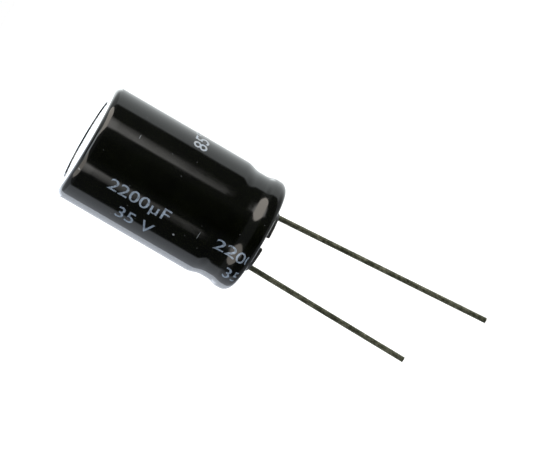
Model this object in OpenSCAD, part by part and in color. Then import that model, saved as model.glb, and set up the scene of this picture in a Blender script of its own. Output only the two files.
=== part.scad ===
// Radial electrolytic capacitor: a drawn aluminium can in a shrunk sleeve, closed by a
// rubber seal, with a wound foil element inside and two wire leads.
// The origin is on the board surface that it stands on, midway between the leads.
// +Z runs along the can to its closed end, and +X points to the anode lead.

/* [Can] */
// Outer diameter of the aluminium can
can_d = 16; // [14:0.1:20]
// Wall of the can's side
can_wall = 0.4; // [0.3:0.05:0.5]
// Wall of the can's closed end
end_wall = 0.5; // [0.4:0.05:0.8]
// Outer radius of the shoulder round the closed end
shoulder_r = 0.8; // [0.6:0.05:1.2]
// Sleeved length, from the curled rim's side to the closed end
body_l = 26.25; // [21.8:0.05:40]
// Depth of the groove that grips the seal
groove_depth = 1.1; // [0.8:0.02:1.32]
// Height of the groove's middle above the sleeved rim
groove_h = 3.75; // [3.6:0.05:4.5]
// Half of the groove's flat bottom
groove_flat = 0.5; // [0.3:0.05:0.6]
// Length of the groove's slope on the closed end's side
groove_far_slope = 2.1; // [1.6:0.1:2.4]
// Length of the groove's slope on the rim's side
groove_near_slope = 1.5; // [1.2:0.05:1.6]
// How far the bead under the groove is inside the can's own radius
bead_drop = 0.12; // [0:0.01:0.2]
// Outer radius of the rim that is curled over the seal
curl_r = 1.1; // [1:0.05:1.3]
// Turn of the curled rim
curl_turn = 125; // [100:1:130]

/* [Vent] */
// Length of each scored line in the closed end
score_l = 9; // [5:0.5:10]
// Width of a scored line
score_w = 0.3; // [0.2:0.05:0.5]
// Depth of a scored line
score_depth = 0.15; // [0.05:0.05:0.25]

/* [Sleeve] */
// Wall of the shrunk sleeve
sleeve_wall = 0.2; // [0.1:0.05:0.3]
// Depth to which the sleeve sinks over the groove
sleeve_dip = 0.43; // [0.2:0.02:0.7]
// How far the sleeve laps over the closed end, from its side
end_lap = 2.5; // [2.2:0.1:3]
// How far the sleeve laps over the curled rim, from its side
seal_lap = 2.2; // [2:0.1:2.4]

/* [Seal] */
// Height of the two raised lands beyond the sleeved rim
land_stand = 0.75; // [0.3:0.05:1]
// How far the lands reach beyond the middles of the seal's holes
land_reach = 0.8; // [0.75:0.05:1]
// Width of the slot between the lands
slot_w = 1.5; // [1:0.1:2]
// Radius of the lands' rounded edges
land_edge_r = 0.3; // [0.1:0.05:0.4]
// Depth of the seal's outer face below the lands
seal_face_depth = 1.2; // [1.1:0.05:1.3]
// Thickness of the seal, without its lands
seal_t = 5.8; // [5.2:0.1:7]

/* [Leads] */
// Distance between the two holes in the seal
hole_pitch = 7.3; // [6.1:0.05:7.6]
// Diameter of a lead
lead_d = 0.75; // [0.6:0.05:0.8]
// Play round a lead in the outer part of its hole
lead_play = 0.3; // [0.25:0.05:0.4]
// Length of the anode lead from its weld
anode_l = 32.85; // [15:0.05:38]
// Outward lean of the anode lead
anode_splay = 3.8; // [0:0.1:4]
// Length of the cathode lead from its weld
cathode_l = 25.95; // [12:0.05:36]
// Outward lean of the cathode lead
cathode_splay = 1; // [0:0.1:4]
// Diameter of the bead where a lead is welded to its boss
weld_d = 0.95; // [0.85:0.05:1.05]
// Height of the weld bead
weld_h = 0.25; // [0.15:0.05:0.4]
// Diameter of a lead's tapered root, at its weld
root_d = 0.85; // [0.8:0.05:0.9]
// How far the tapered root comes out of the seal
root_reach = 0.15; // [0.1:0.05:0.5]

/* [Tabs] */
// Diameter of the aluminium boss that each lead is welded to
boss_d = 1.9; // [1.5:0.05:2.1]
// Height of the weld between lead and boss
weld_z = 2; // [1.8:0.1:2.4]
// Length of the boss beyond the seal's inner face
boss_stand = 1; // [0.6:0.1:1.2]
// Thickness of the flattened blade that goes into the winding
blade_t = 0.2; // [0.15:0.01:0.22]
// Length of the blade inside the winding
blade_l = 12; // [8:0.5:14]
// Half of the blade's angle round the winding
blade_half_angle = 14; // [8:1:15]

/* [Winding] */
// Radius of the hollow core
core_r = 1.25; // [1:0.05:1.5]
// Thickness of the etched anode foil
anode_t = 0.11; // [0.08:0.01:0.12]
// Thickness of the cathode foil
cathode_t = 0.05; // [0.03:0.01:0.06]
// Thickness of a paper separator
paper_t = 0.05; // [0.03:0.01:0.06]
// Thickness of the fixing tape
tape_t = 0.05; // [0.03:0.01:0.06]
// Play between two layers
layer_gap = 0.01; // [0.01:0.005:0.02]
// Room that the layers leave for a blade
blade_room = 0.3; // [0.28:0.01:0.35]
// Play between the winding and the can
winding_play = 0.25; // [0.2:0.05:0.6]
// Play between the seal's inner face and the winding
winding_foot = 1.4; // [1.2:0.1:2]
// Play between the winding and the closed end
winding_head = 0.5; // [0.3:0.1:2]
// How far the paper stands past the anode foil at each end
anode_inset = 0.9; // [0.5:0.1:1.5]
// How far the paper stands past the cathode foil at each end
cathode_inset = 0.7; // [0.4:0.1:1.2]
// How far the paper stands past the tape at each end
tape_inset = 3; // [1:0.5:5]

/* [Hidden] */
$fn = 96;

can_r = can_d / 2;
rim_z = land_stand;
can_foot_z = rim_z + sleeve_wall;
sleeve_top_z = rim_z + body_l;
end_opening_r = can_r + sleeve_wall - end_lap;
seal_opening_r = can_r + sleeve_wall - seal_lap;
can_top_z = sleeve_top_z - sleeve_wall;
groove_z = rim_z + groove_h;
bead_r = can_r - bead_drop;
seal_inner_z = seal_face_depth + seal_t;
hole_x = hole_pitch / 2;
land_d = hole_pitch + 2 * land_reach;
wire_hole_d = lead_d + lead_play + 2 * weld_z * tan(max(anode_splay, cathode_splay));

winding_z = seal_inner_z + winding_foot;
paper_h = can_top_z - end_wall - winding_head - winding_z;
layer_pitch = anode_t + cathode_t + 2 * paper_t + 4 * layer_gap;
inner_paper_at = 0;
anode_at = inner_paper_at + paper_t + layer_gap;
outer_paper_at = anode_at + anode_t + layer_gap;
cathode_at = outer_paper_at + paper_t + layer_gap;
winding_room_r = can_r - can_wall - winding_play;
winding_growth = winding_room_r - blade_room - tape_t - core_r;
turns = floor(winding_growth / layer_pitch) - 1;
steps_per_turn = 24;
tape_overlap = 0.15;
blade_ease_angle = 45;

// Turn in which each blade lies: the one nearest below its lead
anode_blade_turn = floor((hole_x - core_r - anode_at - anode_t) / layer_pitch);
cathode_blade_turn = floor((hole_x - core_r - cathode_at - cathode_t) / layer_pitch - 0.5);

SHEET_ARC_STEPS = 8;
SLOPE_STEPS = 10;

// Points on an arc in the radius-height plane
function arc(centre, r, from, to, steps = SHEET_ARC_STEPS) =
    [for (i = [0:steps])
        let (a = from + (to - from) * i / steps)
        centre + r * [cos(a), sin(a)]];

// A smooth slope between two points that is level at both of its ends
function slope(p, q, steps = SLOPE_STEPS) =
    [for (i = [0:steps])
        let (t = i / steps)
        [p[0] + (q[0] - p[0]) * (1 - cos(180 * t)) / 2, p[1] + (q[1] - p[1]) * t]];

function unit(v) = v / norm(v);

function reversed(points) = [for (i = [len(points) - 1:-1:0]) points[i]];

// The same run of points, moved to its right by d
function beside(points, d) =
    [for (i = [0:len(points) - 1])
        let (ahead = points[min(i + 1, len(points) - 1)], behind = points[max(i - 1, 0)],
             way = unit(ahead - behind))
        points[i] + d * [way[1], -way[0]]];

// Outer line of the side, from the top of the groove down to the curled rim
function side(r, dip, rim_r) =
    concat(
        slope([r, groove_z + groove_flat + groove_far_slope],
              [r - dip, groove_z + groove_flat]),
        slope([r - dip, groove_z - groove_flat],
              [r - bead_drop, groove_z - groove_flat - groove_near_slope]),
        arc([bead_r - curl_r, can_foot_z + curl_r], rim_r, 0, -90));

can_side = side(can_r, groove_depth, curl_r);
can_curl = arc([bead_r - curl_r, can_foot_z + curl_r], curl_r, -90, -curl_turn);
can_line = concat(
    arc([can_r - shoulder_r, can_top_z - shoulder_r], shoulder_r, 90, 0),
    can_side,
    [for (i = [1:len(can_curl) - 1]) can_curl[i]]);
can_bore = beside(can_line, can_wall);

sleeve_line = concat(
    [[end_opening_r, sleeve_top_z]],
    arc([can_r - shoulder_r, can_top_z - shoulder_r], shoulder_r + sleeve_wall, 90, 0),
    side(can_r + sleeve_wall, sleeve_dip, curl_r + sleeve_wall),
    [[seal_opening_r, rim_z]]);
sleeve_bore = beside(sleeve_line, sleeve_wall);

// The part of the can's bore that the seal fills
seal_line = [for (p = can_bore) if (p[1] < seal_inner_z && p[1] > 0) p];

// How much the layers stand out at an angle to make room for one blade
function ease(a) =
    let (off = abs(a - 360 * round(a / 360)))
    max(0, min(1, (blade_half_angle + 1 + blade_ease_angle - off) / blade_ease_angle));

function beyond(a, at, blade_a, blade_turn, blade_at) =
    let (turn = round((a - blade_a) / 360))
    turn > blade_turn || (turn == blade_turn && at > blade_at) ? ease(a - blade_a) : 0;

// Inner radius of a layer at an angle along the winding
function layer_r(a, at) =
    core_r + layer_pitch * a / 360 + at
    + blade_room * (beyond(a, at, 0, anode_blade_turn, anode_at)
                    + beyond(a, at, 180, cathode_blade_turn, cathode_at));

function polar(r, a) = [r * cos(a), r * sin(a)];

module ring(points) {
    rotate_extrude() polygon(points);
}

// One wound strip, from its section's inner radii and the angles that they are at
module strip(angles, radii, t, height) {
    last = len(angles) - 1;
    linear_extrude(height = height)
        polygon(concat(
            [for (i = [0:last]) polar(radii[i], angles[i])],
            [for (i = [last:-1:0]) polar(radii[i] + t, angles[i])]));
}

module wound_layer(at, t, inset) {
    angles = [for (i = [0:turns * steps_per_turn]) 360 * i / steps_per_turn];
    translate([0, 0, winding_z + inset])
        strip(angles, [for (a = angles) layer_r(a, at)], t, paper_h - 2 * inset);
}

// A straight lead with a tapered root under its weld bead, for the +X side
module lead(l, splay) {
    start = weld_h / 2;
    root_l = (weld_z + root_reach) / cos(splay);
    translate([hole_x, 0, weld_z]) {
        translate([0, 0, -weld_h]) cylinder(h = weld_h, d = weld_d);
        rotate([0, 180 - splay, 0]) {
            translate([0, 0, start]) cylinder(h = root_l - start, d1 = root_d, d2 = lead_d);
            translate([0, 0, root_l]) cylinder(h = l - root_l, d = lead_d);
        }
    }
}

// A boss through the seal with its flattened blade, for the lead on the +X side
module tab(blade_r) {
    boss_top = seal_inner_z + boss_stand;
    cone_h = boss_d * 0.3;
    translate([hole_x, 0, weld_z]) cylinder(h = cone_h, d1 = lead_d, d2 = boss_d);
    translate([hole_x, 0, weld_z + cone_h])
        cylinder(h = boss_top - weld_z - cone_h, d = boss_d);
    hull() {
        translate([hole_x, 0, boss_top - boss_stand / 2]) cylinder(h = 0.1, d = boss_d, $fn = 32);
        translate([blade_r + blade_t / 2, 0, winding_z - 0.1])
            cube([blade_t, 2 * blade_r * sin(blade_half_angle) * 0.9, 0.2], center = true);
    }
    translate([0, 0, winding_z - 0.2])
        rotate([0, 0, -blade_half_angle])
            rotate_extrude(angle = 2 * blade_half_angle)
                translate([blade_r, 0]) square([blade_t, blade_l]);
}

// Section of the slot between the lands, with its two mouths rounded over
module slot() {
    mouth = arc([slot_w / 2 + land_edge_r, land_edge_r], land_edge_r, 180, 270);
    half = concat(mouth, [[slot_w / 2 + land_edge_r, -1], [0, -1], [0, seal_face_depth],
                          [slot_w / 2, seal_face_depth]]);
    rotate([90, 0, 0])
        linear_extrude(height = land_d + 1, center = true)
            for (side = [0, 1]) mirror([side, 0]) polygon(half);
}

module lands() {
    difference() {
        ring(concat([[0, seal_face_depth + 0.5], [0, 0]],
                    arc([land_d / 2 - land_edge_r, land_edge_r], land_edge_r, -90, 0),
                    [[land_d / 2, seal_face_depth + 0.5]]));
        slot();
    }
}

module sleeve() {
    color([0.05, 0.05, 0.06])
        ring(concat(sleeve_line, reversed(sleeve_bore)));
}

module can() {
    color([0.82, 0.83, 0.85])
        difference() {
            ring(concat(
                [[0, can_top_z]], can_line, reversed(can_bore),
                [[0, can_top_z - end_wall]]));
            for (turn = [0, 90])
                rotate([0, 0, turn + 45])
                    translate([-score_l / 2, -score_w / 2, can_top_z - score_depth])
                        cube([score_l, score_w, end_wall]);
        }
}

module rubber_seal() {
    color([0.12, 0.12, 0.12])
        difference() {
            union() {
                ring(concat(
                    [[0, seal_inner_z], [can_r - can_wall, seal_inner_z]], seal_line,
                    [[seal_line[len(seal_line) - 1][0] - 0.3, seal_face_depth],
                     [0, seal_face_depth]]));
                lands();
            }
            for (side = [-1, 1])
                translate([side * hole_x, 0, 0]) {
                    translate([0, 0, -1]) cylinder(h = weld_z + 1.1, d = wire_hole_d);
                    translate([0, 0, weld_z]) cylinder(h = seal_inner_z, d = boss_d);
                }
        }
}

module anode_lead() {
    color([0.42, 0.40, 0.34]) lead(anode_l, anode_splay);
}

module cathode_lead() {
    color([0.42, 0.40, 0.34]) mirror([1, 0, 0]) lead(cathode_l, cathode_splay);
}

module anode_tab() {
    color([0.80, 0.81, 0.83])
        tab(layer_r(360 * anode_blade_turn + blade_half_angle, anode_at) + anode_t
            + layer_gap);
}

module cathode_tab() {
    color([0.80, 0.81, 0.83])
        rotate([0, 0, 180])
            tab(layer_r(360 * cathode_blade_turn + 180 + blade_half_angle, cathode_at)
                + cathode_t + layer_gap);
}

module anode_foil() {
    color([0.55, 0.56, 0.58]) wound_layer(anode_at, anode_t, anode_inset);
}

module inner_separator() {
    color([0.86, 0.80, 0.64]) wound_layer(inner_paper_at, paper_t, 0);
}

module cathode_foil() {
    color([0.70, 0.71, 0.73]) wound_layer(cathode_at, cathode_t, cathode_inset);
}

module outer_separator() {
    color([0.86, 0.80, 0.64]) wound_layer(outer_paper_at, paper_t, 0);
}

// One turn over the winding's end, and a short overlap over its own start
module fixing_tape() {
    first = turns * steps_per_turn;
    full_turn = [for (i = [0:steps_per_turn]) 360 * (first + i) / steps_per_turn];
    overlap_steps = ceil(tape_overlap * steps_per_turn);
    overlap = [for (i = [1:overlap_steps]) 360 * (first + i) / steps_per_turn];
    color([0.75, 0.62, 0.30])
        translate([0, 0, winding_z + tape_inset])
            strip(concat(full_turn, overlap),
                  concat([for (a = full_turn) layer_r(a, 0)],
                         [for (a = overlap) layer_r(a, 0) + tape_t + layer_gap]),
                  tape_t, paper_h - 2 * tape_inset);
}

sleeve();
can();
rubber_seal();
anode_lead();
cathode_lead();
anode_tab();
cathode_tab();
anode_foil();
inner_separator();
cathode_foil();
outer_separator();
fixing_tape();
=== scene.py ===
"""The looks of a radial electrolytic capacitor: a shrunk sleeve with its print, the finishes
of the carried-over pieces, and a plain studio."""

import math

import bpy
from bpy.props import FloatProperty, FloatVectorProperty, IntProperty, PointerProperty, StringProperty
from mathutils import Matrix, Vector


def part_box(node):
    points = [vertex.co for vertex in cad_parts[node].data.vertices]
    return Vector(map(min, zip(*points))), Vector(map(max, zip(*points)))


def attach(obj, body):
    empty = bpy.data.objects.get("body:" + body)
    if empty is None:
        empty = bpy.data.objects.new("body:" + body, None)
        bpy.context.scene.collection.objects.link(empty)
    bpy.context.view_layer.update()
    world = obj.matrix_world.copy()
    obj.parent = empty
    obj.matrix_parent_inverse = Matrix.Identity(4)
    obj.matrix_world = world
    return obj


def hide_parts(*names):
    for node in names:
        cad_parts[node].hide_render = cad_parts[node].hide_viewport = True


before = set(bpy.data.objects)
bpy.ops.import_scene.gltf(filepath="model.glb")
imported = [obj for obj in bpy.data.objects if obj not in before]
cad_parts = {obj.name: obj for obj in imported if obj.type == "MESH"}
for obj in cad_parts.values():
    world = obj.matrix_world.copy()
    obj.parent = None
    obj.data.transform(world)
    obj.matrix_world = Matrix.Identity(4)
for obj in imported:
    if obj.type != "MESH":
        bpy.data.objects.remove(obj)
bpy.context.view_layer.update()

bl_info = {
    "name": "Radial electrolytic capacitor",
    "version": (1, 0, 0),
    "blender": (4, 5, 0),
    "location": "3D View > Sidebar > Capacitor",
    "description": "Models the sleeve, print and finishes of a radial capacitor",
    "category": "Object",
}

MM = 0.001
BODY = "root"

SLEEVE_LOW, SLEEVE_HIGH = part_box("sleeve")
CAN_LOW, CAN_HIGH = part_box("can")
WIRE_TIP_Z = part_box("anode_lead")[0].z

# Edges that turn by less than this are smoothed
SMOOTH_ANGLE = math.radians(35)

# Stations on each stretch of the film's outer line, from the closed end down to the rim
STATIONS = {"end": 5, "shoulder": 14, "side": 14, "far": 16, "groove": 3, "near": 14, "rim": 16,
            "foot": 3}

# The way in which a pattern moves the shrunk lip, and the pattern's size
LIP_PATTERNS = (("X", 4.5 * MM), ("Y", 3.7 * MM))
# How deep under the closed end's face the lip still wanders
LIP_DEPTH = 0.5 * MM

# The print's letters: how far they are swelled and how near two points are merged, in units of
# the font, and the steps in each of their curves
LETTER_SWELL = 0.003
LETTER_MERGE = 1e-5
LETTER_STEPS = 6
# Width of the strips that let the print follow the film
STRIP = 0.22 * MM
# How far outside the film a line stands before it is wrapped, and how far above the rim's foot
# its repeat is cut off
LINE_GAP = 0.2 * MM
CUT_GAP = 0.35 * MM
LINE_COPIES = 2


# ---------------------------------------------------------------- settings


def length(name, description, default, lowest=0):
    return FloatProperty(name=name, description=description, default=default, min=lowest,
                         subtype="DISTANCE", unit="LENGTH", precision=5)


def angle(name, description, degrees):
    return FloatProperty(name=name, description=description, default=math.radians(degrees),
                         subtype="ANGLE", unit="ROTATION")


def colour(name, description, default):
    return FloatVectorProperty(name=name, description=description, default=default, size=3,
                               min=0, max=1, subtype="COLOR")


class SleeveSettings(bpy.types.PropertyGroup):
    wall: length("Wall", "Thickness of the film", SLEEVE_HIGH.z - CAN_HIGH.z)
    end_lap: length("End lap", "How far the film laps over the closed end", 2.5 * MM)
    seal_lap: length("Seal lap", "How far the film laps over the curled rim", 2.2 * MM)
    shoulder_r: length("Shoulder radius", "Radius round the closed end", 1.0 * MM)
    rim_r: length("Rim radius", "Radius over the curled rim", 1.3 * MM)
    dip: length("Dip", "Depth to which the film sinks over the groove", 0.43 * MM)
    bead_drop: length("Bead drop", "How far the bead lies inside the side", 0.12 * MM)
    groove_h: length("Groove height", "Height of the groove above the rim", 3.75 * MM)
    groove_flat: length("Groove flat", "Half of the groove's level bottom", 0.5 * MM)
    far_slope: length("Far slope", "Length of the slope to the side", 2.1 * MM)
    near_slope: length("Near slope", "Length of the slope to the bead", 1.5 * MM)
    lip_wander: length("Lip wander", "How far the shrunk lips wander", 0.14 * MM)
    segments: IntProperty(name="Segments", description="Faces round the sleeve",
                          default=192, min=24)
    film: colour("Film", "Colour of the film", (0.0007, 0.0009, 0.0003))
    stripe: colour("Stripe", "Colour of the polarity stripe", (0.165, 0.18, 0.205))
    stripe_half: angle("Stripe half width", "Half of the stripe's angle", 25)


class PrintSettings(bpy.types.PropertyGroup):
    rating: StringProperty(name="Rating", description="Upper line", default="2200µF")
    voltage: StringProperty(name="Voltage", description="Lower line", default="35 V")
    code: StringProperty(name="Code", description="Line round the sleeve", default="85°C")
    rating_l: length("Rating length", "Length of the upper line", 9.0 * MM)
    rating_h: length("Rating height", "Height of the upper line's figures", 2.1 * MM)
    rating_z: length("Rating start", "Height at which the upper line starts", 22.04 * MM)
    rating_at: angle("Rating place", "Turn of the upper line from the front", 24.8)
    voltage_l: length("Voltage length", "Length of the lower line", 5.3 * MM)
    voltage_h: length("Voltage height", "Height of the lower line's figures", 2.15 * MM)
    voltage_z: length("Voltage start", "Height at which the lower line starts", 19.28 * MM)
    voltage_at: angle("Voltage place", "Turn of the lower line from the front", 46.4)
    pitch: length("Pitch", "Distance at which the two lines repeat", 16.0 * MM)
    code_l: length("Code length", "Length of the code", 7.2 * MM)
    code_h: length("Code height", "Height of the code's figures", 2.1 * MM)
    code_z: length("Code middle", "Height of the code's middle", 14.0 * MM)
    code_at: angle("Code place", "Turn of the code's middle from the front", -74)
    stand: length("Stand", "How far the ink stands on the film", 0.012 * MM)
    coat: length("Coat", "Thickness of the ink", 0.010 * MM)
    # The ink is given twice: the first colour is the ink darkened by painted shade, for the front and
    # the -X side; the second is the ink lightened by painted light, for the +X side.
    ink: colour("Ink", "Colour of the worn ink", (0.20, 0.255, 0.335))
    lit_side_ink: colour("Lit-side ink", "Colour of the ink on the +X side", (0.32, 0.335, 0.345))


class StageSettings(bpy.types.PropertyGroup):
    distance: length("Distance", "From the camera to the capacitor", 682 * MM)
    lens: FloatProperty(name="Lens", description="Focal length", default=346, min=20,
                        subtype="DISTANCE_CAMERA", unit="CAMERA")
    elevation: angle("Elevation", "How far the camera looks down", 6.5)
    roll: angle("Roll", "How far the camera is turned about its view", 59.8)
    aim_x: length("Aim X", "Place that the camera aims at", 2.42 * MM, lowest=-1)
    aim_z: length("Aim Z", "Height that the camera aims at", 0.36 * MM, lowest=-1)
    floor_size: length("Floor", "Side of the floor", 3.0)
    floor_gap: length("Floor gap", "From the longer lead's tip to the floor", 0.05 * MM)


# ---------------------------------------------------------------- modelling helpers


def deselect():
    bpy.ops.object.select_all(action="DESELECT")


def finish(piece, name):
    """Names a piece, puts its place in its mesh and lets it ride on the body."""
    piece.name = name
    piece.data.name = name
    deselect()
    piece.select_set(True)
    bpy.context.view_layer.objects.active = piece
    bpy.ops.object.transform_apply(location=True, rotation=True, scale=True)
    bpy.ops.object.shade_smooth_by_angle(angle=SMOOTH_ANGLE)
    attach(piece, BODY)
    return piece


def apply_modifiers(piece):
    bpy.context.view_layer.objects.active = piece
    for name in [modifier.name for modifier in piece.modifiers]:
        bpy.ops.object.modifier_apply(modifier=name)


def arc(centre_r, centre_z, radius, start, end, steps):
    """Stations on an arc in the radius-height plane, from one angle to another."""
    turns = [math.radians(start + (end - start) * i / steps) for i in range(steps + 1)]
    return [(centre_r + radius * math.cos(a), centre_z + radius * math.sin(a)) for a in turns]


def slope(start, end, steps):
    """Stations on a smooth slope that is level at both of its ends."""
    (r0, z0), (r1, z1) = start, end
    shares = [i / steps for i in range(steps + 1)]
    return [(r0 + (r1 - r0) * (1 - math.cos(math.pi * t)) / 2, z0 + (z1 - z0) * t)
            for t in shares]


def line(start, end, steps):
    """Stations on a straight line, without its two ends."""
    (r0, z0), (r1, z1) = start, end
    return [(r0 + (r1 - r0) * i / steps, z0 + (z1 - z0) * i / steps) for i in range(1, steps)]


def sleeve_profile(s):
    """The film's outer line, from its lip on the closed end down to its lip on the rim."""
    n = STATIONS
    side_r, top, foot = SLEEVE_HIGH.x, SLEEVE_HIGH.z, SLEEVE_LOW.z
    bead_r = side_r - s.bead_drop
    groove_z = foot + s.groove_h
    end_lip = (side_r - s.end_lap, top)
    seal_lip = (side_r - s.seal_lap, foot)
    shoulder = arc(side_r - s.shoulder_r, top - s.shoulder_r, s.shoulder_r, 90, 0,
                   n["shoulder"])
    far = slope((side_r, groove_z + s.groove_flat + s.far_slope),
                (side_r - s.dip, groove_z + s.groove_flat), n["far"])
    near = slope((side_r - s.dip, groove_z - s.groove_flat),
                 (bead_r, groove_z - s.groove_flat - s.near_slope), n["near"])
    rim = arc(bead_r - s.rim_r, foot + s.rim_r, s.rim_r, 0, -90, n["rim"])
    return ([end_lip] + line(end_lip, shoulder[0], n["end"]) + shoulder
            + line(shoulder[-1], far[0], n["side"]) + far
            + line(far[-1], near[0], n["groove"]) + near
            + rim + line(rim[-1], seal_lip, n["foot"]) + [seal_lip])


def turned_shell(profile, segments):
    """A shell round the Z axis: one ring, extruded from station to station."""
    (r, z) = profile[0]
    deselect()
    bpy.ops.mesh.primitive_circle_add(vertices=segments, radius=r, location=(0, 0, z))
    shell = bpy.context.object
    bpy.ops.object.mode_set(mode="EDIT")
    bpy.ops.mesh.select_all(action="SELECT")
    for next_r, next_z in profile[1:]:
        bpy.ops.mesh.extrude_region_move(TRANSFORM_OT_translate={"value": (0, 0, next_z - z)})
        bpy.ops.transform.resize(value=(next_r / r, next_r / r, 1), center_override=(0, 0, next_z))
        r, z = next_r, next_z
    bpy.ops.mesh.select_all(action="SELECT")
    bpy.ops.mesh.normals_make_consistent(inside=False)
    bpy.ops.object.mode_set(mode="OBJECT")
    bpy.ops.object.transform_apply(location=True)
    return shell


def wander(piece, group, amount):
    """Moves the vertices of a group a little to and fro, each way by a pattern of its own."""
    for axis, size in LIP_PATTERNS:
        pattern = bpy.data.textures.new("wander_" + axis, "CLOUDS")
        pattern.noise_scale = size
        pattern.noise_depth = 1
        modifier = piece.modifiers.new("wander_" + axis, "DISPLACE")
        modifier.texture = pattern
        modifier.texture_coords = "LOCAL"
        modifier.direction = axis
        modifier.vertex_group = group
        modifier.strength = 2 * amount
        modifier.mid_level = 0.5


# ---------------------------------------------------------------- shader helpers


def put(tree, kind, inputs=None, **settings):
    """Adds a node, with its settings and with its inputs set or linked."""
    node = tree.nodes.new(kind)
    for name, value in settings.items():
        setattr(node, name, value)
    for name, value in (inputs or {}).items():
        if isinstance(value, bpy.types.NodeSocket):
            tree.links.new(value, node.inputs[name])
        else:
            node.inputs[name].default_value = value
    return node


def calc(tree, operation, *values):
    return put(tree, "ShaderNodeMath", dict(enumerate(values)), operation=operation).outputs[0]


def plus(tree, value, *others):
    for other in others:
        value = calc(tree, "ADD", value, other)
    return value


def times(tree, value, *others):
    for other in others:
        value = calc(tree, "MULTIPLY", value, other)
    return value


def less(tree, value, other):
    return calc(tree, "SUBTRACT", value, other)


def turn_from_front(tree, x, y):
    """Degrees round the Z axis, from the front and counted up towards +X."""
    return calc(tree, "DEGREES", calc(tree, "ARCTAN2", x, times(tree, y, -1.0)))


def rise(tree, value, start, end, low=0.0, high=1.0):
    """Goes smoothly from low to high as value goes from start to end."""
    node = put(tree, "ShaderNodeMapRange",
               {"Value": value, "From Min": start, "From Max": end, "To Min": low,
                "To Max": high}, interpolation_type="SMOOTHSTEP")
    return node.outputs[0]


def window(tree, value, start, end, soft):
    """One between start and end, and nothing outside, with soft edges."""
    up = rise(tree, value, start - soft, start + soft)
    down = rise(tree, value, end - soft, end + soft, 1.0, 0.0)
    return times(tree, up, down)


def ramp(tree, value, *stops):
    """Colours at places along value."""
    node = put(tree, "ShaderNodeValToRGB", {"Fac": value})
    band = node.color_ramp
    while len(band.elements) < len(stops):
        band.elements.new(0.5)
    for element, (place, tint) in zip(band.elements, stops):
        element.position = place
        element.color = (*tint, 1)
    return node.outputs["Color"]


def grey(value):
    return (value, value, value)


def coords(tree, scale=(1, 1, 1), turn=(0, 0, 0)):
    """Object coordinates, in millimetres when the scale is one."""
    source = put(tree, "ShaderNodeTexCoord").outputs["Object"]
    mapping = put(tree, "ShaderNodeMapping",
                  {"Vector": source, "Scale": Vector(scale) / MM, "Rotation": turn})
    return mapping.outputs[0]


def noise(tree, where, scale, detail=3.0, roughness=0.5, distortion=0.0):
    node = put(tree, "ShaderNodeTexNoise",
               {"Vector": where, "Scale": scale, "Detail": detail, "Roughness": roughness,
                "Distortion": distortion})
    return node.outputs["Fac"]


def mix(tree, share, a, b):
    """From colour a to colour b, each a socket or three numbers."""
    a, b = [c if isinstance(c, bpy.types.NodeSocket) else (*c, 1) for c in (a, b)]
    node = put(tree, "ShaderNodeMix", {0: share, 6: a, 7: b}, data_type="RGBA")
    return node.outputs[2]


def bump(tree, height, strength, distance, before=None):
    """A normal that follows height, on top of the normal before, if there is one."""
    inputs = {"Height": height, "Strength": strength, "Distance": distance}
    if before is not None:
        inputs["Normal"] = before
    return put(tree, "ShaderNodeBump", inputs).outputs[0]


class Finish:
    """A material under construction: its node tree, and the shader that it ends in."""

    def __init__(self, name):
        self.material = bpy.data.materials.new(name)
        self.material.use_nodes = True
        self.tree = self.material.node_tree
        self.shader = self.tree.nodes["Principled BSDF"]

    def drive(self, socket, value):
        self.tree.links.new(value, self.shader.inputs[socket])

    def hold(self, socket, value):
        self.shader.inputs[socket].default_value = value


# ---------------------------------------------------------------- finishes


# Small pale nicks in the film: degrees from the front to +X, then the height, half the width
# and half the height in millimetres
NICKS = ((-37.3, 11.4, 0.15, 0.15), (-24.6, 8.6, 0.55, 0.030), (27.9, 21.6, 0.32, 0.04),
         (-27.3, 26.36, 0.12, 0.16))
NICK_TINT = (0.17, 0.19, 0.21)
DUST_TINT = (0.10, 0.11, 0.12)

# Minus marks in the stripe: half of their distance and of their length in millimetres, half of
# their width in degrees, and the softness of their edges
MARK_BEAT, MARK_HALF_L, MARK_EDGE = 4.0, 1.2, 0.05
MARK_HALF_W, MARK_SIDE_EDGE = 3.7, 0.3
STRIPE_EDGE = math.radians(0.35)


def nicks(t, x, y, z):
    """One inside each nick of the film, and nothing elsewhere."""
    turn = turn_from_front(t, x, y)
    inside = 0.0
    for place, height, half_w, half_h in NICKS:
        half_turn = math.degrees(half_w / (SLEEVE_HIGH.x / MM))
        across = calc(t, "POWER", calc(t, "DIVIDE", less(t, turn, place), half_turn), 2.0)
        along = calc(t, "POWER", calc(t, "DIVIDE", less(t, z, height), half_h), 2.0)
        inside = plus(t, rise(t, plus(t, across, along), 0.6, 1.4, 1.0, 0.0), inside)
    return inside


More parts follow.
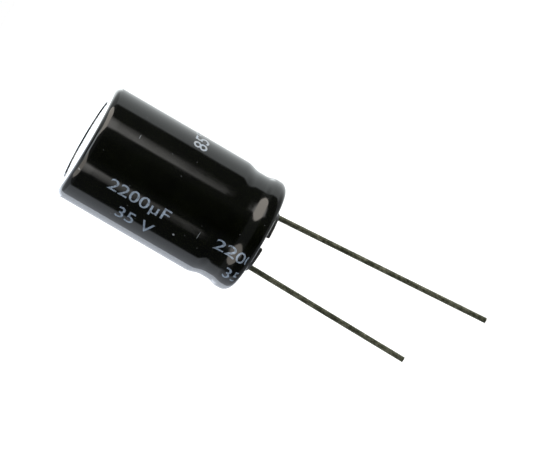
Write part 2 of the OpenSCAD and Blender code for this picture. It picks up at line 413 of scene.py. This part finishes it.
def film_finish(s):
    """Glossy black film with a pale polarity stripe on the -X side."""
    f = Finish("film")
    t = f.tree
    where = coords(t)
    x, y, z = put(t, "ShaderNodeSeparateXYZ", {0: where}).outputs
    # the stripe, with a slightly uneven edge
    off = calc(t, "ABSOLUTE", calc(t, "ARCTAN2", y, times(t, x, -1.0)))
    edge = plus(t, off, times(t, noise(t, where, scale=1.5), 0.012))
    stripe = rise(t, edge, s.stripe_half - STRIPE_EDGE, s.stripe_half + STRIPE_EDGE, 1.0, 0.0)
    # dark minus marks in the stripe
    beat = calc(t, "PINGPONG", z, MARK_BEAT)
    bar = times(t, rise(t, beat, MARK_HALF_L - MARK_EDGE, MARK_HALF_L + MARK_EDGE, 1.0, 0.0),
                rise(t, off, math.radians(MARK_HALF_W - MARK_SIDE_EDGE),
                     math.radians(MARK_HALF_W + MARK_SIDE_EDGE), 1.0, 0.0))
    worn = rise(t, noise(t, where, scale=3.2, detail=5.0, roughness=0.7), 0.30, 0.46, 0.75, 1.0)
    stripe = times(t, stripe, less(t, 1.0, bar), worn)
    # the black film, with dust and nicks
    cloud = noise(t, where, scale=0.35, detail=4.0, roughness=0.6)
    black = ramp(t, cloud, (0.3, [c * 0.6 for c in s.film]), (0.7, [c * 1.6 for c in s.film]))
    speck = put(t, "ShaderNodeTexVoronoi", {"Vector": where, "Scale": 0.62, "Randomness": 1.0})
    dust = rise(t, speck.outputs["Distance"], 0.035, 0.055, 0.35, 0.0)
    black = mix(t, dust, black, DUST_TINT)
    black = mix(t, times(t, nicks(t, x, y, z), 0.7), black, NICK_TINT)
    f.drive("Base Color", mix(t, stripe, black, s.stripe))
    rub = noise(t, coords(t, (1.6, 1.6, 0.35)), scale=1.0, detail=5.0, roughness=0.62)
    f.drive("Roughness", rise(t, rub, 0.25, 0.8, 0.05, 0.14))
    ripple = noise(t, coords(t, (1, 1, 0.25)), scale=0.55, detail=2.0)
    grain = noise(t, where, scale=9.0, detail=4.0)
    rippled = bump(t, ripple, strength=0.10, distance=0.1 * MM)
    f.drive("Normal", bump(t, grain, strength=0.06, distance=0.01 * MM, before=rippled))
    f.hold("IOR", 1.5)
    return f.material


def ink_finish(p):
    """Pale ink with a slight metallic sheen, thin and rubbed in places. Its colour is painted lighter
    on the +X side as painted light, and darker towards the front and the -X side as painted shade."""
    f = Finish("ink")
    t = f.tree
    where = coords(t)
    patchy = noise(t, where, scale=3.2, detail=5.0, roughness=0.7)
    rubbed, whole = 0.36, 0.60
    # The first ramp is the shaded copy of the ink, darkened as painted shade, with its real rubbed
    # patches; the second is its lit copy, lightened as painted light.
    worn = ramp(t, patchy, (rubbed, [c * 0.25 for c in p.ink]), (whole, p.ink))
    lit_side_copy = ramp(t, patchy, (rubbed, [c * 1.1 for c in p.ink]), (whole, p.lit_side_ink))
    x = put(t, "ShaderNodeSeparateXYZ", {0: where}).outputs[0]
    # Painted light and shade: the ink turns from its shaded copy to its lit copy towards +X.
    f.drive("Base Color", mix(t, rise(t, x, 2.0, 5.5), worn, lit_side_copy))
    f.drive("Metallic", rise(t, patchy, rubbed, whole, 0.1, 0.4))
    f.drive("Roughness", rise(t, noise(t, where, scale=6.0), 0.3, 0.7, 0.22, 0.40))
    f.drive("Normal", bump(t, patchy, strength=0.25, distance=0.01 * MM))
    f.hold("IOR", 1.5)
    return f.material


def drawn_aluminium():
    """Bright drawn aluminium with faint turning lines and small handling marks."""
    f = Finish("drawn_aluminium")
    t = f.tree
    where = coords(t)
    x, y, _ = put(t, "ShaderNodeSeparateXYZ", {0: where}).outputs
    radius = calc(t, "SQRT", plus(t, calc(t, "POWER", x, 2.0), calc(t, "POWER", y, 2.0)))
    rings = put(t, "ShaderNodeTexNoise", {"W": times(t, radius, 9.0), "Scale": 1.0, "Detail": 4.0},
                noise_dimensions="1D").outputs["Fac"]
    cloud = noise(t, where, scale=0.5, detail=4.0)
    f.drive("Base Color", ramp(t, cloud, (0.3, (0.72, 0.73, 0.75)), (0.7, (0.86, 0.87, 0.89))))
    wear = plus(t, times(t, rings, 0.5), times(t, cloud, 0.5))
    f.drive("Roughness", rise(t, wear, 0.3, 0.7, 0.20, 0.34))
    waved = bump(t, cloud, strength=0.2, distance=0.05 * MM)
    f.drive("Normal", bump(t, rings, strength=0.18, distance=0.02 * MM, before=waved))
    f.hold("Metallic", 1.0)
    return f.material


def rubber():
    """Moulded black rubber with a dusty bloom."""
    f = Finish("rubber")
    t = f.tree
    where = coords(t)
    bloom = noise(t, where, scale=1.1, detail=6.0, roughness=0.65)
    f.drive("Base Color", ramp(t, bloom, (0.35, grey(0.008)), (0.75, (0.022, 0.022, 0.021))))
    f.drive("Roughness", rise(t, bloom, 0.3, 0.7, 0.42, 0.62))
    grain = noise(t, where, scale=14.0, detail=5.0, roughness=0.6)
    f.drive("Normal", bump(t, grain, strength=0.35, distance=0.02 * MM))
    return f.material


def tinned_wire():
    """Dull tin on steel, with drawn streaks along the wire and darker stains."""
    f = Finish("tinned_wire")
    t = f.tree
    streak = noise(t, coords(t, (7, 7, 0.5)), scale=1.0, detail=5.0, roughness=0.6)
    stain = noise(t, coords(t, (1, 1, 0.8)), scale=0.9, detail=5.0, roughness=0.65)
    fleck = noise(t, coords(t), scale=2.6, detail=2.0)
    tone = plus(t, times(t, streak, 0.35), times(t, stain, 0.30), times(t, fleck, 0.35))
    f.drive("Base Color", ramp(t, tone, (0.38, (0.030, 0.033, 0.021)),
                               (0.50, (0.085, 0.091, 0.064)), (0.64, (0.22, 0.225, 0.17))))
    f.drive("Roughness", rise(t, stain, 0.3, 0.7, 0.32, 0.48))
    f.drive("Normal", bump(t, streak, strength=0.30, distance=0.02 * MM))
    f.hold("Metallic", 0.85)
    return f.material


def plain_aluminium(name, dark, light, rough_low, rough_high, scale):
    """Aluminium without polish, between two tones."""
    f = Finish(name)
    t = f.tree
    where = coords(t)
    tone = noise(t, where, scale, detail=5.0, roughness=0.6)
    f.drive("Base Color", ramp(t, tone, (0.3, dark), (0.7, light)))
    f.drive("Roughness", rise(t, tone, 0.3, 0.7, rough_low, rough_high))
    grain = noise(t, where, scale * 6)
    f.drive("Normal", bump(t, grain, strength=0.25, distance=0.01 * MM))
    f.hold("Metallic", 1.0)
    return f.material


def separator_paper():
    """Kraft paper with fibres, damp with electrolyte."""
    f = Finish("separator_paper")
    t = f.tree
    fibre = noise(t, coords(t, (3, 3, 11), (0.5, 0.2, 0)), scale=1.0, detail=6.0, roughness=0.7,
                  distortion=0.6)
    damp = noise(t, coords(t), scale=0.4)
    dry = ramp(t, fibre, (0.3, (0.46, 0.36, 0.20)), (0.7, (0.72, 0.62, 0.42)))
    f.drive("Base Color", mix(t, rise(t, damp, 0.35, 0.7, 0.0, 0.45), dry, (0.40, 0.31, 0.17)))
    f.drive("Roughness", rise(t, damp, 0.3, 0.7, 0.45, 0.75))
    f.drive("Normal", bump(t, fibre, strength=0.35, distance=0.02 * MM))
    return f.material


def fixing_tape():
    """Thin amber plastic tape with a fine crinkle."""
    f = Finish("fixing_tape")
    t = f.tree
    crinkle = noise(t, coords(t, (1, 1, 3)), scale=1.4, detail=4.0)
    f.drive("Base Color", ramp(t, crinkle, (0.3, (0.52, 0.36, 0.12)), (0.7, (0.70, 0.55, 0.25))))
    f.drive("Roughness", rise(t, crinkle, 0.3, 0.7, 0.25, 0.45))
    f.drive("Normal", bump(t, crinkle, strength=0.25, distance=0.02 * MM))
    return f.material


# ---------------------------------------------------------------- operators


class CAPACITOR_OT_sleeve(bpy.types.Operator):
    """Turn the shrunk sleeve, let its lips wander and give it its wall"""
    bl_idname = "capacitor.sleeve"
    bl_label = "Sleeve"

    def execute(self, context):
        s = context.scene.capacitor_sleeve
        piece = turned_shell(sleeve_profile(s), s.segments)
        lips = piece.vertex_groups.new(name="lips")
        for vertex in piece.data.vertices:
            reach = math.hypot(vertex.co.x, vertex.co.y)
            inside = (SLEEVE_HIGH.x - s.shoulder_r - reach) / (s.end_lap - s.shoulder_r)
            if inside > 0 and vertex.co.z > SLEEVE_HIGH.z - LIP_DEPTH:
                lips.add([vertex.index], min(1.0, inside) ** 2, "REPLACE")
        wander(piece, "lips", s.lip_wander)
        wall = piece.modifiers.new("wall", "SOLIDIFY")
        wall.thickness = s.wall
        wall.offset = -1
        apply_modifiers(piece)
        piece.data.materials.append(film_finish(s))
        finish(piece, "sleeve_film")
        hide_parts("sleeve")
        return {"FINISHED"}


def flat_text(body):
    """A line of text as a flat mesh round the origin, with its lower and upper corner."""
    deselect()
    bpy.ops.object.text_add(location=(0, 0, 0))
    piece = bpy.context.object
    piece.data.body = body
    piece.data.align_x = "CENTER"
    piece.data.align_y = "CENTER"
    piece.data.resolution_u = LETTER_STEPS
    piece.data.offset = LETTER_SWELL
    bpy.ops.object.convert(target="MESH")
    bpy.ops.object.mode_set(mode="EDIT")
    bpy.ops.mesh.select_all(action="SELECT")
    bpy.ops.mesh.remove_doubles(threshold=LETTER_MERGE)
    bpy.ops.object.mode_set(mode="OBJECT")
    xs = [v.co.x for v in piece.data.vertices]
    ys = [v.co.y for v in piece.data.vertices]
    return piece, Vector((min(xs), min(ys), 0)), Vector((max(xs), max(ys), 0))


def cut_strips(centre, way, reach):
    """Cuts the mesh in edit mode into strips, on both sides of its centre."""
    count = int(reach / STRIP)
    for i in range(-count, count + 1):
        bpy.ops.mesh.select_all(action="SELECT")
        bpy.ops.mesh.bisect(plane_co=centre + way * i * STRIP, plane_no=way)


def printed_line(context, name, body, text_l, text_h, centre, along, up, cut_z=None):
    """One line of print, cut into narrow strips and wrapped on the film."""
    p = context.scene.capacitor_print
    piece, low, high = flat_text(body)
    size = high - low
    scale = Matrix.Diagonal((text_l / size.x, text_h / size.y, 1, 1))
    turn = Matrix((along, up, along.cross(up))).transposed().to_4x4()
    piece.matrix_world = (Matrix.Translation(centre) @ turn @ scale
                          @ Matrix.Translation(-(low + high) / 2))
    bpy.ops.object.transform_apply(location=True, rotation=True, scale=True)
    bpy.ops.object.mode_set(mode="EDIT")
    cut_strips(centre, along, text_l / 2)
    cut_strips(centre, up, text_h / 2)
    if cut_z is not None:
        bpy.ops.mesh.select_all(action="SELECT")
        bpy.ops.mesh.bisect(plane_co=(0, 0, cut_z), plane_no=(0, 0, -1), clear_outer=True)
    bpy.ops.object.mode_set(mode="OBJECT")
    wrap = piece.modifiers.new("wrap", "SHRINKWRAP")
    wrap.target = bpy.data.objects["sleeve_film"]
    wrap.wrap_method = "NEAREST_SURFACEPOINT"
    wrap.wrap_mode = "ABOVE_SURFACE"
    wrap.offset = p.stand
    coat = piece.modifiers.new("coat", "SOLIDIFY")
    coat.thickness = p.coat
    coat.offset = -1
    apply_modifiers(piece)
    piece.data.materials.append(bpy.data.materials["ink"])
    return finish(piece, name)


def beside_film(turn, z):
    """A place just outside the film, at a turn from the front."""
    radius = SLEEVE_HIGH.x + LINE_GAP
    return Vector((-radius * math.sin(turn), -radius * math.cos(turn), z))


def level_way(turn):
    """The way round the film at a turn from the front."""
    return Vector((math.cos(turn), -math.sin(turn), 0))


class CAPACITOR_OT_print(bpy.types.Operator):
    """Lay the two printed lines, their repeat and the code on the sleeve"""
    bl_idname = "capacitor.print"
    bl_label = "Print"

    def execute(self, context):
        p = context.scene.capacitor_print
        ink_finish(p)
        down, upright = Vector((0, 0, -1)), Vector((0, 0, 1))
        lines = (("rating", p.rating, p.rating_l, p.rating_h, p.rating_z, p.rating_at),
                 ("voltage", p.voltage, p.voltage_l, p.voltage_h, p.voltage_z, p.voltage_at))
        for copy in range(LINE_COPIES):
            cut_z = SLEEVE_LOW.z + CUT_GAP if copy else None
            for name, body, text_l, text_h, start_z, turn in lines:
                centre = beside_film(turn, start_z - text_l / 2 - copy * p.pitch)
                printed_line(context, f"{name}_print_{copy + 1}", body, text_l, text_h, centre,
                             down, level_way(turn), cut_z)
        printed_line(context, "code_print", p.code, p.code_l, p.code_h,
                     beside_film(p.code_at, p.code_z), level_way(p.code_at), upright)
        return {"FINISHED"}


class CAPACITOR_OT_finishes(bpy.types.Operator):
    """Give the can, seal, leads, tabs and winding their finishes"""
    bl_idname = "capacitor.finishes"
    bl_label = "Finishes"

    def execute(self, context):
        wire = tinned_wire()
        tab = plain_aluminium("tab_aluminium", (0.62, 0.63, 0.65), (0.84, 0.85, 0.87),
                              0.28, 0.42, scale=1.5)
        paper = separator_paper()
        made = {
            "can": drawn_aluminium(),
            "rubber_seal": rubber(),
            "anode_lead": wire,
            "cathode_lead": wire,
            "anode_tab": tab,
            "cathode_tab": tab,
            "anode_foil": plain_aluminium("etched_foil", grey(0.30), grey(0.46), 0.55, 0.75,
                                          scale=4.0),
            "cathode_foil": plain_aluminium("plain_foil", grey(0.58), grey(0.74), 0.3, 0.5,
                                            scale=2.0),
            "inner_separator": paper,
            "outer_separator": paper,
            "fixing_tape": fixing_tape(),
        }
        for name, finish_made in made.items():
            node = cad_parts[name]
            node.data.materials.clear()
            node.data.materials.append(finish_made)
        return {"FINISHED"}


# The studio's lights stand in the world, placed in degrees: the turn from the front, counted up
# towards +X, and the height above the horizon. A pair gives the start and end of a soft edge.
SIDE_TOP = (48, 56)
SIDE_END = (106, 110)
SIDE_DIM = (-4.0, 12.0)
SIDE_LOW_PART = (0, 8)
# How the inner edge of a side light slants, and the height under which it is upright
SLANT, SLANT_FOOT = 0.37, -5.0
INNER_EDGE, LOWER_EDGE = 2.6, 1.9
# The turn at which the lower edge has its corner, and the climb of its part towards the back
CORNER_TURN = 44.0
BACK_CLIMB, BACK_FOOT = 1.1, -4.0


def side_light(t, turn, height, start, corner, lean, knee, fade, levels):
    """A light with a slanted inner edge and a lower edge that rises towards the back. It is
    dimmer low down, and fades there towards the back."""
    over_foot = calc(t, "MAXIMUM", less(t, height, SLANT_FOOT), 0.0)
    inner = calc(t, "MULTIPLY_ADD", over_foot, SLANT, turn)
    front_edge = calc(t, "MULTIPLY_ADD", less(t, turn, CORNER_TURN), lean, corner)
    back_edge = calc(t, "MULTIPLY_ADD", less(t, turn, knee), BACK_CLIMB, BACK_FOOT)
    over_edge = less(t, height, calc(t, "MAXIMUM", front_edge, back_edge))
    low_part = rise(t, height, *SIDE_LOW_PART, 1.0, 0.0)
    faded = less(t, 1.0, times(t, low_part, rise(t, turn, *fade)))
    return times(t, rise(t, inner, start - INNER_EDGE, start + INNER_EDGE),
                 rise(t, turn, *SIDE_END, 1.0, 0.0), rise(t, height, *SIDE_TOP, 1.0, 0.0),
                 rise(t, over_edge, 0.0, LOWER_EDGE), faded,
                 rise(t, height, *SIDE_DIM, *levels))


def surroundings(t, turn, off, height):
    """The pale surroundings, from beside the capacitor to behind it."""
    behind = times(t, rise(t, height, -1.5, 1.5, 0.0, 1.55), rise(t, off, 140, 160))
    level = plus(t, behind, rise(t, turn, -60, 60, 0.92, 1.04),
                 rise(t, height, 9, 20, 0.0, -0.5), rise(t, turn, 105, 165, 0.0, 0.3))
    return times(t, rise(t, off, 94, 98), level, rise(t, height, *SIDE_TOP, 1.0, 0.1),
                 rise(t, height, -45, -14, 0.2, 1.0))


def front_glow(t, turn, off, height):
    """A faint glow in front, a little stronger to the sides and above the horizon."""
    return plus(t, rise(t, off, 15, 35, 0.008, 0.053), rise(t, turn, -30, 30, -0.008, 0.015),
                rise(t, height, -5.2, -4.4, 0.0, 0.025), rise(t, height, -3, 5, 0.0, 0.09))


def studio_world():
    """White surroundings behind, soft lights at both sides and above, and a dark front."""
    world = bpy.data.worlds.new("studio")
    world.use_nodes = True
    t = world.node_tree
    t.nodes.clear()
    way = put(t, "ShaderNodeTexCoord").outputs["Generated"]
    x, y, z = put(t, "ShaderNodeSeparateXYZ", {0: way}).outputs
    turn = turn_from_front(t, x, y)
    height = calc(t, "DEGREES", calc(t, "ARCSINE", z))
    off = calc(t, "ABSOLUTE", turn)
    overhead = times(t, window(t, height, 52, 71, soft=6), rise(t, off, 25, 55, 4.0, 0.8))
    pale = plus(t, surroundings(t, turn, off, height), overhead,
                front_glow(t, turn, off, height))
    # a soft light at each side, with a corner just under the horizon
    right = side_light(t, turn, height, start=42.2, corner=-6.5, lean=0.064, knee=63.5,
                       fade=(50, 70, 0.0, 0.96), levels=(2.35, 4.5))
    left = side_light(t, times(t, turn, -1.0), height, start=38.3, corner=-5.9, lean=0.03,
                      knee=54.0, fade=(40, 62, 0.0, 1.0), levels=(2.3, 2.5))
    side_tint = mix(t, rise(t, turn, -60, 60), (0.91, 0.97, 1.06), (0.95, 1.0, 1.01))
    cool = put(t, "ShaderNodeBackground", {"Color": side_tint, "Strength": pale})
    warmth = mix(t, rise(t, height, -2, 6), (1.0, 0.985, 0.955), (1.0, 0.93, 0.84))
    warm = put(t, "ShaderNodeBackground", {"Color": warmth, "Strength": plus(t, right, left)})
    light = put(t, "ShaderNodeAddShader", {0: cool.outputs[0], 1: warm.outputs[0]})
    white = put(t, "ShaderNodeBackground", {"Color": (1, 1, 1, 1), "Strength": 1.0})
    seen = put(t, "ShaderNodeLightPath").outputs["Is Camera Ray"]
    both = put(t, "ShaderNodeMixShader", {0: seen, 1: light.outputs[0], 2: white.outputs[0]})
    out = put(t, "ShaderNodeOutputWorld")
    t.links.new(both.outputs[0], out.inputs[0])
    return world


def floor_finish():
    """A plain pale floor, with hardly any grain."""
    f = Finish("studio_floor")
    t = f.tree
    cloud = noise(t, coords(t), scale=0.02)
    f.drive("Base Color", ramp(t, cloud, (0.3, grey(0.90)), (0.7, grey(0.93))))
    f.hold("Roughness", 0.9)
    f.hold("Specular IOR Level", 0.0)
    return f.material


class CAPACITOR_OT_stage(bpy.types.Operator):
    """Set the floor, the light and the camera"""
    bl_idname = "capacitor.stage"
    bl_label = "Stage"

    def execute(self, context):
        g = context.scene.capacitor_stage
        scene = context.scene
        scene.world = studio_world()
        scene.view_settings.view_transform = "Standard"
        deselect()
        bpy.ops.mesh.primitive_plane_add(size=g.floor_size,
                                         location=(0, 0, WIRE_TIP_Z - g.floor_gap))
        floor = context.object
        floor.name = "floor"
        bpy.ops.object.transform_apply(location=True)
        floor.data.materials.append(floor_finish())
        floor.visible_glossy = False
        data = bpy.data.cameras.new("camera")
        data.lens = g.lens
        camera = bpy.data.objects.new("camera", data)
        scene.collection.objects.link(camera)
        forward = Vector((0, math.cos(g.elevation), -math.sin(g.elevation)))
        level = Vector((1, 0, 0))
        upright = level.cross(forward)
        right = level * math.cos(g.roll) - upright * math.sin(g.roll)
        up = level * math.sin(g.roll) + upright * math.cos(g.roll)
        axes = Matrix((right, up, -forward)).transposed().to_4x4()
        aim = Vector((g.aim_x, 0, g.aim_z))
        camera.matrix_world = Matrix.Translation(aim - forward * g.distance) @ axes
        scene.camera = camera
        return {"FINISHED"}


class CAPACITOR_PT_panel(bpy.types.Panel):
    bl_idname = "CAPACITOR_PT_panel"
    bl_label = "Capacitor"
    bl_space_type = "VIEW_3D"
    bl_region_type = "UI"
    bl_category = "Capacitor"

    def draw(self, context):
        for operator in OPERATORS:
            self.layout.operator(operator.bl_idname)


OPERATORS = (CAPACITOR_OT_sleeve, CAPACITOR_OT_print, CAPACITOR_OT_finishes,
             CAPACITOR_OT_stage)
GROUPS = {
    "capacitor_sleeve": SleeveSettings,
    "capacitor_print": PrintSettings,
    "capacitor_stage": StageSettings,
}


def register():
    for name, group in GROUPS.items():
        bpy.utils.register_class(group)
        setattr(bpy.types.Scene, name, PointerProperty(type=group))
    for operator in OPERATORS:
        bpy.utils.register_class(operator)
    bpy.utils.register_class(CAPACITOR_PT_panel)


def unregister():
    bpy.utils.unregister_class(CAPACITOR_PT_panel)
    for operator in reversed(OPERATORS):
        bpy.utils.unregister_class(operator)
    for name, group in GROUPS.items():
        delattr(bpy.types.Scene, name)
        bpy.utils.unregister_class(group)


def main():
    register()
    bpy.ops.capacitor.sleeve()
    bpy.ops.capacitor.print()
    bpy.ops.capacitor.finishes()
    bpy.ops.capacitor.stage()


if __name__ == "__main__":
    main()
